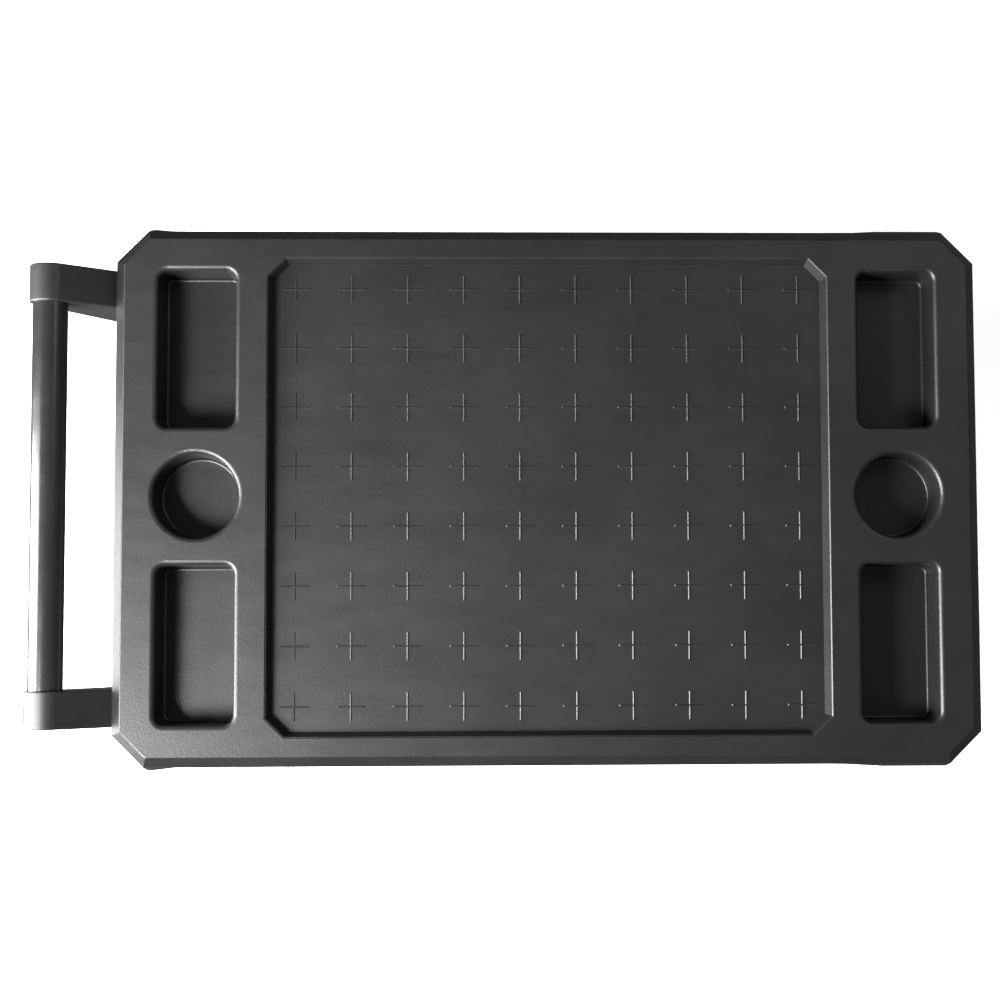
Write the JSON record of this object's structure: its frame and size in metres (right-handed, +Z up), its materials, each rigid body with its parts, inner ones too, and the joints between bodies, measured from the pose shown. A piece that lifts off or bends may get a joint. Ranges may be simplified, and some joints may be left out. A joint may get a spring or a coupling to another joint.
{
  "type": "garage service cart",
  "caption": "Two-tray moulded service cart with parts pockets, cup holders, a push bar on wedge brackets, fixed casters and braked swivel casters.",
  "frame": {"origin": "on the floor, at the centre of the cart's footprint", "axes": "+X from the push bar to the nose, +Y to the pusher's left, +Z up"},
  "size_m": [0.9256, 0.53, 0.855],
  "materials": {
    "tray_plastic": "fine moulded grain",
    "bracket_plastic": "fine moulded grain",
    "tube_coat": "satin powder coat",
    "dark_screws": "black oxide",
    "zinc": "zinc plated",
    "wheel_core": "moulded",
    "tyre_rubber": "matt",
    "pedal_plastic": "moulded"
  },
  "bodies": {
    "cart": {"top_tray": "tray_plastic", "bottom_tray": "tray_plastic", "post_handle_left": "tray_plastic", "post_handle_right": "tray_plastic", "post_nose_left": "tray_plastic", "post_nose_right": "tray_plastic", "handle_bracket_left": "bracket_plastic", "handle_bracket_right": "bracket_plastic", "handle_tube": "tube_coat", "top_tray_screws": "dark_screws", "bottom_tray_screws": "dark_screws", "bracket_bolts": "dark_screws", "caster_bolts": "zinc", "caster_nuts": "zinc", "caster_plate_handle_left": "zinc", "swivel_race_handle_left": "zinc", "kingpin_handle_left": "zinc", "caster_plate_handle_right": "zinc", "swivel_race_handle_right": "zinc", "kingpin_handle_right": "zinc", "caster_fork_nose_left": "zinc", "axle_bolt_nose_left": "zinc", "axle_nut_nose_left": "zinc", "axle_sleeve_nose_left": "zinc", "caster_fork_nose_right": "zinc", "axle_bolt_nose_right": "zinc", "axle_nut_nose_right": "zinc", "axle_sleeve_nose_right": "zinc"},
    "caster_handle_left": {"caster_fork_handle_left": "zinc", "axle_bolt_handle_left": "zinc", "axle_nut_handle_left": "zinc", "axle_sleeve_handle_left": "zinc", "pedal_pin_handle_left": "zinc"},
    "pedal_handle_left": {"brake_pedal_handle_left": "pedal_plastic"},
    "wheel_handle_left": {"wheel_hub_handle_left": "wheel_core", "tyre_handle_left": "tyre_rubber"},
    "caster_handle_right": {"caster_fork_handle_right": "zinc", "axle_bolt_handle_right": "zinc", "axle_nut_handle_right": "zinc", "axle_sleeve_handle_right": "zinc", "pedal_pin_handle_right": "zinc"},
    "pedal_handle_right": {"brake_pedal_handle_right": "pedal_plastic"},
    "wheel_handle_right": {"wheel_hub_handle_right": "wheel_core", "tyre_handle_right": "tyre_rubber"},
    "wheel_nose_left": {"wheel_hub_nose_left": "wheel_core", "tyre_nose_left": "tyre_rubber"},
    "wheel_nose_right": {"wheel_hub_nose_right": "wheel_core", "tyre_nose_right": "tyre_rubber"}
  },
  "joints": [
    {"name": "swivel_handle_left", "type": "hinge", "parent": "cart", "child": "caster_handle_left", "pos_m": [-0.2662, 0.178, 0.15], "axis": [0, 0, 1], "continuous": true},
    {"name": "brake_handle_left", "type": "hinge", "parent": "caster_handle_left", "child": "pedal_handle_left", "pos_m": [-0.3262, 0.178, 0.132], "axis": [0, -1, 0], "range_deg": [0, 14]},
    {"name": "roll_handle_left", "type": "hinge", "parent": "caster_handle_left", "child": "wheel_handle_left", "pos_m": [-0.3042, 0.178, 0.0625], "axis": [0, 1, 0], "continuous": true},
    {"name": "swivel_handle_right", "type": "hinge", "parent": "cart", "child": "caster_handle_right", "pos_m": [-0.2662, -0.178, 0.15], "axis": [0, 0, 1], "continuous": true},
    {"name": "brake_handle_right", "type": "hinge", "parent": "caster_handle_right", "child": "pedal_handle_right", "pos_m": [-0.3262, -0.178, 0.132], "axis": [0, -1, 0], "range_deg": [0, 14]},
    {"name": "roll_handle_right", "type": "hinge", "parent": "caster_handle_right", "child": "wheel_handle_right", "pos_m": [-0.3042, -0.178, 0.0625], "axis": [0, 1, 0], "continuous": true},
    {"name": "roll_nose_left", "type": "hinge", "parent": "cart", "child": "wheel_nose_left", "pos_m": [0.3458, 0.178, 0.0625], "axis": [0, 1, 0], "continuous": true},
    {"name": "roll_nose_right", "type": "hinge", "parent": "cart", "child": "wheel_nose_right", "pos_m": [0.3458, -0.178, 0.0625], "axis": [0, 1, 0], "continuous": true}
  ]
}
